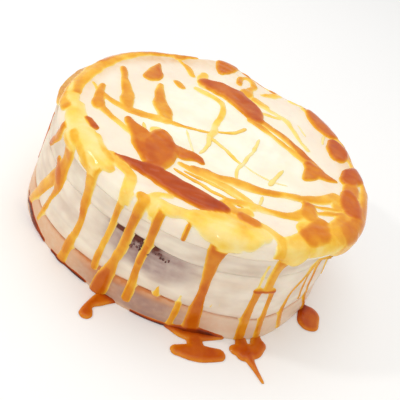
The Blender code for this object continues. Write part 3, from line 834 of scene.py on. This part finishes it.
# %% Build the threads
THREADS = [
    ([(-12, -58), (0, -58.5), (15, -60), (28, -64)], [0.9, 1.3, 1.3, 1.0], 0.40),
    ([(-18, -60), (-5, -63), (12, -66), (28, -69)], [0.9, 1.4, 1.5, 1.0], 0.44),
    ([(-10, -54), (10, -56), (24, -60)], [0.8, 1.1, 0.9], 0.40),
    ([(-24, -12), (-14, -8), (-7, -5)], [1.0, 1.2, 1.6], 0.42),
    ([(-7, -9), (-6, -22), (-8, -33)], [1.7, 1.5, 1.0], 0.26),
    ([(-6, -11), (4, -16), (14, -23), (20, -26)], [1.6, 1.4, 1.5, 1.2], 0.32),
    ([(24, 12), (23, 0), (22, -10), (19, -24), (17, -34), (19, -44)], [0.9, 1.2, 1.2, 1.3, 1.1, 0.8], 0.22),
    ([(45, -12), (42, -24), (39, -36)], [0.9, 1.5, 1.6], 0.24),
    ([(37, -50), (36, -60)], [1.2, 1.0], 0.28),
    ([(13, 18), (8, 8), (0, 1), (-5, -2)], [1.6, 1.5, 1.2, 1.2], 0.38),
    ([(20, -26), (30, -29), (42, -30), (50, -28)], [0.8, 0.8, 0.9, 0.6], 0.18),
    ([(-22, -14), (-17, -24), (-12, -34)], [0.8, 0.8, 0.7], 0.18),
    ([(-48, -28), (-44, -36)], [1.1, 1.2], 0.28),
    ([(16, 49), (26, 51), (34, 53)], [0.8, 1.0, 0.8], 0.27),
    ([(47, 57), (55, 46)], [0.7, 0.8], 0.22),
    ([(68, 60), (68, 45)], [1.1, 1.0], 0.22),
    ([(-6, 103), (2, 102)], [1.5, 2.0], 0.60),
    ([(33, 98), (45, 98)], [1.4, 1.8], 0.32),
]
SECTION = 10                       # points round a thread
FLATNESS = 0.5                     # a thread's height as a share of its half width
TAPER = 2                          # steps over which a thread's end thins out
SWAY = 0.5                         # how far a thread sways off its line, mm


def lay_on_top(x, y, lift):
    """Points laid on the cream top at plan positions, raised by a lift."""
    angle, distance = np.degrees(np.arctan2(x, -y)), np.hypot(x, y)
    inner = rim_radius(angle) - SHOULDER
    reach = np.where(distance < inner, distance / inner, 1 + (distance - inner) / SHOULDER_LENGTH)
    return top_point(angle, reach) + np.stack([0 * x, 0 * x, lift], -1)


def build_threads(threads):
    points, faces, depths, start = [], [], [], 0
    for spots, half_widths, deep in threads:
        path = smooth_path(spots, half_widths)
        ahead = np.gradient(path[:, :2], axis=0)
        ahead /= np.linalg.norm(ahead, axis=1, keepdims=True)
        along = np.arange(len(path))
        taper = np.sqrt(np.clip(np.minimum(along + 0.3, len(path) - 0.7 - along) / TAPER, 0, 1))
        bend = SWAY * waves(along / 7 + start, along / 7, 71)
        width = (path[:, 2] * taper * (1 + 0.25 * waves(along / 4 + start, along / 4, 72)))[:, None]
        phi = np.linspace(0, 2 * math.pi, SECTION, endpoint=False)[None, :]
        x = path[:, :1] - ahead[:, 1:] * (width * np.cos(phi) + bend[:, None])
        y = path[:, 1:2] + ahead[:, :1] * (width * np.cos(phi) + bend[:, None])
        points.append(lay_on_top(x, y, width * FLATNESS * np.sin(phi)).reshape(-1, 3))
        index, cells = grid_cells(len(path), SECTION, start)
        quads = cells[..., [0, 3, 2, 1]].reshape(-1, 4)     # this grid's outside faces the other way
        faces += quads.tolist() + [tuple(index[0, ::-1].tolist()), tuple(index[-1].tolist())]
        depths.append(np.full(index.size, deep))
        start += index.size
    return new_piece("caramel_threads", np.concatenate(points), faces, {"depth": np.concatenate(depths)})


threads = build_threads(THREADS)
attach(threads, "root")
print("threads:", len(THREADS), "with", len(threads.data.polygons), "faces")

# %% [markdown]
# ## Pools at the foot
#
# The fastest drips reach the foot and spread into low, dark pools. They are drawn by angle and
# distance from the middle. Their outer points are pulled in to the edge of the pool, so a
# pool's outline is smooth, and their flat undersides lie just over the foot's level.

# %% Build the pools
POOLS = [
    ([(-12, 103), (-14, 110), (-15, 118), (-14, 124)], [5.0, 4.5, 2.6, 4.2]),
    ([(9, 104), (16, 106), (27, 105)], [3.0, 6.0, 3.5]),
    ([(17, 103), (18, 112), (18.5, 120)], [6.0, 5.0, 6.0]),
    ([(12.5, 121), (18.5, 120.5), (25, 120)], [4.0, 6.2, 4.5]),
    ([(35, 103), (34, 111), (33, 119)], [3.2, 4.0, 5.5]),
    ([(41, 102), (40, 109), (39, 115)], [3.2, 3.6, 5.0]),
    ([(31, 116), (36, 118), (40, 115)], [4.0, 5.5, 4.0]),
    ([(34, 120), (34.5, 130), (35, 139.5)], [4.0, 2.0, 0.9]),
    ([(69, 100), (68.6, 106), (67.4, 110)], [2.6, 3.4, 6.4]),
    ([(67.2, 110.6), (64.0, 113.6)], [7.8, 7.8]),
]
POOL_HEIGHT = 1.7                  # of its rounded top over its underside
POOL_FLOOR = 0.25                  # of its underside over the foot's level
POOL_ANGLES = (-22, 78, 0.45)      # the grid's first and last angle and its step, degrees
POOL_REACH = (98, 143, 0.7)        # the same for its distance from the middle, mm
EDGE_PULL = 2.5                    # how far a point outside can be pulled to the edge, mm


def build_pools(pools):
    angle = np.arange(*POOL_ANGLES)[None, :]
    distance = np.arange(*POOL_REACH)[:, None]
    turn = np.radians(angle)
    x, y = distance * np.sin(turn), -distance * np.cos(turn)
    strokes = [rim_stroke(spots, widths, 0.9, POOL_HEIGHT) for spots, widths in pools]
    thickness, _, inside = melt(x, y, strokes, 0.2 * waves(x / 5, y / 5, 81))
    to_y, to_x = np.gradient(inside)
    slope_r = to_y / POOL_REACH[2]
    slope_a = to_x / (np.radians(POOL_ANGLES[2]) * distance)
    steep = np.maximum(np.hypot(slope_r, slope_a), 1e-6)
    pull = np.clip(-inside, 0, EDGE_PULL)
    out, aside = pull * slope_r / steep, pull * slope_a / steep
    x = x + out * np.sin(turn) + aside * np.cos(turn)
    y = y - out * np.cos(turn) + aside * np.sin(turn)
    base = np.stack([x, y, np.full(x.shape, POOL_FLOOR)], -1)
    raised = base + np.clip(thickness, 0, THICKEST)[..., None] * [0, 0, 1.0]
    keep = kept_cells(inside, 0.0)
    keep[:, -1] = False            # the fan doesn't close up round the cake
    colour = 0.62 + 0.18 * smooth(0, 3, inside) + 0.3 * smooth(110, 104, distance)
    return sheet_shell("caramel_pools", raised, base, keep, {"depth": colour})


pools = build_pools(POOLS)
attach(pools, "root")
print("pools:", len(pools.data.polygons), "faces")

# %% [markdown]
# ## Crumbs
#
# Where the knife tore the icing under the high seam, dark crumbs of cake cling to the side.
# They could be a pattern in the finish, but a real crumb stands proud. Each is a small ball
# of 12 points, pushed out of shape. All of them are joined to one mesh.

# %% Build the crumbs
CRUMB_SPOTS = ((-9.0, 47.6, 3.4, 1.7, 34),    # angle, height, the spread of each, how many
               (-1.0, 47.0, 1.3, 0.7, 9))
CRUMB_SIZE = (0.35, 0.95)          # half width, mm


def small_ball():
    form = bmesh.new()
    bmesh.ops.create_icosphere(form, subdivisions=1, radius=1)
    corners = np.array([corner.co[:] for corner in form.verts])
    faces = [[corner.index for corner in face.verts] for face in form.faces]
    form.free()
    return corners, faces


def build_crumbs(spots):
    draw = np.random.default_rng(5)
    ball, triangles = small_ball()
    points, faces = [], []
    for angle, height, angle_spread, height_spread, count in spots:
        for _ in range(count):
            at, up = draw.normal(angle, angle_spread), draw.normal(height, height_spread)
            size = draw.uniform(*CRUMB_SIZE)
            lumps = ball * (1 + 0.3 * draw.uniform(-1, 1, (len(ball), 1))) * size * draw.uniform(0.7, 1.3, 3)
            faces += [[corner + len(points) * len(ball) for corner in face] for face in triangles]
            points.append(lumps + ring_point(at, side_radius(at, up) + 0.15, up))
    return new_piece("seam_crumbs", np.concatenate(points), faces)


crumbs = build_crumbs(CRUMB_SPOTS)
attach(crumbs, "root")
print("crumbs:", len(crumbs.data.polygons), "faces")

# %% [markdown]
# ## Finishes
#
# Colours are read as everyday 0 to 255 values and turned to light values. Cream is soft and
# lets light in, so it gets a little scattering below its surface.

# %% Colour helpers
def light(red, green, blue):
    """A 0 to 255 screen colour as linear light."""
    channels = [c / 255 for c in (red, green, blue)]
    return tuple(c / 12.92 if c <= 0.04045 else ((c + 0.055) / 1.055) ** 2.4 for c in channels) + (1.0,)


def new_finish(name, roughness, **sockets):
    """A finish, with the shader's sockets set by their names, spaces written as underscores."""
    finish = bpy.data.materials.new(name)
    finish.use_nodes = True
    tree = finish.node_tree
    shader = tree.nodes["Principled BSDF"]
    shader.inputs["Roughness"].default_value = roughness
    for socket, value in sockets.items():
        shader.inputs[socket.replace("_", " ")].default_value = value
    return finish, tree, shader


def add_node(tree, kind, **settings):
    node = tree.nodes.new(kind)
    for key, value in settings.items():
        if key in node.inputs:
            node.inputs[key].default_value = value
        else:
            setattr(node, key, value)
    return node


def noise(tree, scale_mm, detail=3.0, stretch=(1, 1, 1)):
    """Procedural noise of a given size in millimetres, in the cake's own coordinates."""
    place = add_node(tree, "ShaderNodeTexCoord")
    squeeze = add_node(tree, "ShaderNodeMapping")
    squeeze.inputs["Scale"].default_value = stretch
    source = add_node(tree, "ShaderNodeTexNoise", Scale=1000 / scale_mm, Detail=detail)
    tree.links.new(place.outputs["Object"], squeeze.inputs["Vector"])
    tree.links.new(squeeze.outputs["Vector"], source.inputs["Vector"])
    return source.outputs["Fac"]


def ramp(tree, value, stops):
    node = add_node(tree, "ShaderNodeValToRGB")
    strip = node.color_ramp
    while len(strip.elements) < len(stops):
        strip.elements.new(0.5)
    for element, (place, colour) in zip(strip.elements, stops):
        element.position, element.color = place, colour
    tree.links.new(value, node.inputs["Fac"])
    return node.outputs["Color"]


def plug(tree, sockets, values):
    """Link each socket to another node's output, or set it to a number or a colour."""
    for socket, value in zip(sockets, values):
        if isinstance(value, bpy.types.NodeSocket):
            tree.links.new(value, socket)
        else:
            socket.default_value = value


def blend(tree, share, first, second):
    """Mix two colours by a share, which is a number or another node's output."""
    node = add_node(tree, "ShaderNodeMix", data_type='RGBA')
    plug(tree, (node.inputs[0], node.inputs[6], node.inputs[7]), (share, first, second))
    return node.outputs[2]


def math_node(tree, operation, a, b):
    node = add_node(tree, "ShaderNodeMath", operation=operation)
    plug(tree, node.inputs, (a, b))
    return node.outputs[0]


def times(tree, a, b):
    return math_node(tree, 'MULTIPLY', a, b)


def plus(tree, a, b):
    return math_node(tree, 'ADD', a, b)


def mark(tree, name):
    """A number that a piece carries at each of its points."""
    return add_node(tree, "ShaderNodeAttribute", attribute_name=name).outputs["Fac"]


def add_bump(tree, shader, height, distance_mm):
    node = add_node(tree, "ShaderNodeBump", Strength=1.0, Distance=distance_mm * MM)
    tree.links.new(height, node.inputs["Height"])
    tree.links.new(node.outputs["Normal"], shader.inputs["Normal"])


# %% [markdown]
# Cream is a warm white, with painted shade that makes it a little darker towards the rim. It is
# faintly yellow next to caramel and tan where a film of caramel has soaked the rim.

# %% Cream finish
def make_cream():
    finish, tree, shader = new_finish("cream", 0.42, Subsurface_Weight=0.25, Subsurface_Scale=2.5 * MM)
    shader.inputs["Subsurface Radius"].default_value = (1.0, 0.75, 0.5)
    cloud = ramp(tree, noise(tree, 26), [(0.35, light(246, 235, 210)), (0.65, light(253, 249, 228))])
    # painted shade: towards the rim the cream is mixed with a darker, pinker tone
    outer_shade_share = times(tree, mark(tree, "painted_outer_shade"), times(tree, noise(tree, 13), 1.3))
    cloud = blend(tree, outer_shade_share, cloud, light(243, 222, 200))
    film = times(tree, mark(tree, "syrupy_rim"), noise(tree, 9))
    cloud = blend(tree, times(tree, film, 1.5), cloud, light(228, 186, 136))
    tint = times(tree, mark(tree, "near_caramel"), 0.22)
    colour = blend(tree, tint, cloud, light(250, 230, 172))
    tree.links.new(colour, shader.inputs["Base Color"])
    add_bump(tree, shader, noise(tree, 2.2, 4), 0.2)
    return finish


cream.data.materials.append(make_cream())

# %% [markdown]
# The scraped side is thin icing over cake: pale where the icing is thick, tan where caramel
# soaked in, greyish where it was scraped bare, and dark in the seams.

# %% Side finishes
def make_side(name, pale, shade, soaked):
    finish, tree, shader = new_finish(name, 0.5, Subsurface_Weight=0.12, Subsurface_Scale=1.5 * MM,
                                      Specular_IOR_Level=0.2)
    colour = ramp(tree, noise(tree, 16, 2, (1, 1, 1.6)), [(0.3, shade), (0.65, pale)])
    speckle = times(tree, noise(tree, 3.5, 4, (1, 1, 1.4)), 0.8)
    speckle = plus(tree, speckle, 0.5)
    mottle = plus(tree, noise(tree, 7, 4, (1, 1, 1.5)), 0.5)
    layers = (("stain", 1.0, soaked, speckle), ("bare", 0.9, light(152, 116, 113), mottle),
              ("syrup", 0.95, light(204, 124, 66), speckle), ("dark", 0.95, light(96, 34, 18), speckle))
    for kind, most, tone, rough in layers:
        share = times(tree, mark(tree, kind), rough)
        limit = add_node(tree, "ShaderNodeClamp", Max=most)
        tree.links.new(share, limit.inputs["Value"])
        colour = blend(tree, limit.outputs[0], colour, tone)
    tree.links.new(colour, shader.inputs["Base Color"])
    add_bump(tree, shader, noise(tree, 5, 3, (1, 1, 1.6)), 0.22)
    return finish


icing = (light(243, 229, 208), light(226, 206, 184))
# the top layer's icing is painted a little darker: painted shade from the cream top's overhanging lip
shaded_icing = (light(239, 225, 204), light(221, 202, 179))
bottom.data.materials.append(make_side("soaked_base", *icing, light(226, 182, 144)))
middle.data.materials.append(make_side("iced_side", *icing, light(230, 192, 150)))
upper.data.materials.append(make_side("iced_shoulder", *shaded_icing, light(230, 202, 162)))

# %% [markdown]
# Crumbs are dull and dark, some browner and some more purple.

# %% Crumb finish
def make_crumb():
    finish, tree, shader = new_finish("cake_crumb", 0.85)
    colour = ramp(tree, noise(tree, 1.6, 2), [(0.35, light(74, 34, 28)), (0.65, light(140, 92, 84))])
    tree.links.new(colour, shader.inputs["Base Color"])
    add_bump(tree, shader, noise(tree, 0.5, 2), 0.15)
    return finish


crumbs.data.materials.append(make_crumb())

# %% [markdown]
# Caramel goes from pale yellow where it is a film, over gold and orange, to a red-brown amber
# where it stands thick. It is smooth and very glossy.

# %% Caramel finish
def make_caramel():
    finish, tree, shader = new_finish("caramel", 0.2, Subsurface_Weight=0.1, Subsurface_Scale=1.0 * MM,
                                      Specular_IOR_Level=0.08, Coat_Weight=0.32, Coat_Roughness=0.05)
    shader.inputs["Subsurface Radius"].default_value = (1.0, 0.5, 0.15)
    broad = times(tree, math_node(tree, 'SUBTRACT', noise(tree, 18, 2), 0.5), 0.42)
    fine = times(tree, math_node(tree, 'SUBTRACT', noise(tree, 5, 3), 0.5), 0.16)
    depth = plus(tree, mark(tree, "depth"), plus(tree, broad, fine))
    depth = times(tree, depth, 0.8)
    colour = ramp(tree, depth, [(0.06, light(253, 240, 200)), (0.16, light(252, 226, 140)),
                                (0.26, light(250, 208, 84)), (0.35, light(242, 180, 50)),
                                (0.45, light(226, 144, 28)), (0.56, light(208, 108, 14)),
                                (0.69, light(186, 76, 4)), (0.80, light(168, 60, 2)),
                                (0.95, light(92, 32, 12))])
    # paler patches, only where the caramel is thin
    thin = ramp(tree, depth, [(0.2, (0.5, 0.5, 0.5, 1)), (0.34, (0, 0, 0, 1))])
    patch = ramp(tree, noise(tree, 10, 2), [(0.42, (0, 0, 0, 1)), (0.62, (1, 1, 1, 1))])
    colour = blend(tree, times(tree, thin, patch), colour, light(251, 231, 172))
    tree.links.new(colour, shader.inputs["Base Color"])
    add_bump(tree, shader, noise(tree, 5, 2), 0.3)
    return finish


caramel = make_caramel()
for piece in (sheet, threads, pools):
    piece.data.materials.append(caramel)

# %% [markdown]
# ## Light and floor
#
# A pale plain floor and a soft white studio: an even sky, a wide lamp above and a little behind
# that brightens the top and leaves the front a touch darker, and two small ones, at the left
# and in front, for highlights on the caramel.

# %% Studio
def make_floor():
    side = 3000.0                  # from the middle to an edge, mm
    corners = np.array([[-side, -side, 0], [side, -side, 0], [side, side, 0], [-side, side, 0]])
    floor = new_piece("floor", corners, [(0, 1, 2, 3)])
    finish, _, shader = new_finish("pale_floor", 0.6)
    shader.inputs["Base Color"].default_value = light(250, 249, 247)
    floor.data.materials.append(finish)
    floor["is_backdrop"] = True


def make_lamp(name, place, size, power):
    """A square lamp aimed at the cake's foot, with its place and size in metres."""
    data = bpy.data.lights.new(name, 'AREA')
    data.size, data.energy = size, power
    lamp = bpy.data.objects.new(name, data)
    lamp.location = place
    toward = -lamp.location
    lamp.rotation_euler = toward.to_track_quat('-Z', 'Y').to_euler()
    bpy.context.scene.collection.objects.link(lamp)


def make_sky(strength):
    sky = bpy.data.worlds.new("studio")
    sky.use_nodes = True
    sky.node_tree.nodes["Background"].inputs["Color"].default_value = (1, 1, 1, 1)
    sky.node_tree.nodes["Background"].inputs["Strength"].default_value = strength
    bpy.context.scene.world = sky


make_floor()
make_sky(0.76)
for name, place, size, power in (("overhead", (-0.15, 0.35, 1.2), 0.9, 3.7),
                                 ("key", (-1.0, -0.3, 0.85), 0.1, 2.6),
                                 ("sparkle", (0.12, -0.7, 0.95), 0.06, 1.0)):
    make_lamp(name, place, size, power)
bpy.context.scene.view_settings.view_transform = 'Standard'

# %% [markdown]
# ## Measure and finish
#
# The last step prints the size of the solids and of the finished cake, which must not be larger.

# %% Measure and finish
dressed_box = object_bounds()
sizes = {"solids": [list(corner) for corner in solid_box], "dressed": [list(corner) for corner in dressed_box]}
for name, box in sizes.items():
    print(name, "mm:", [[round(v / MM, 1) for v in corner] for corner in box])
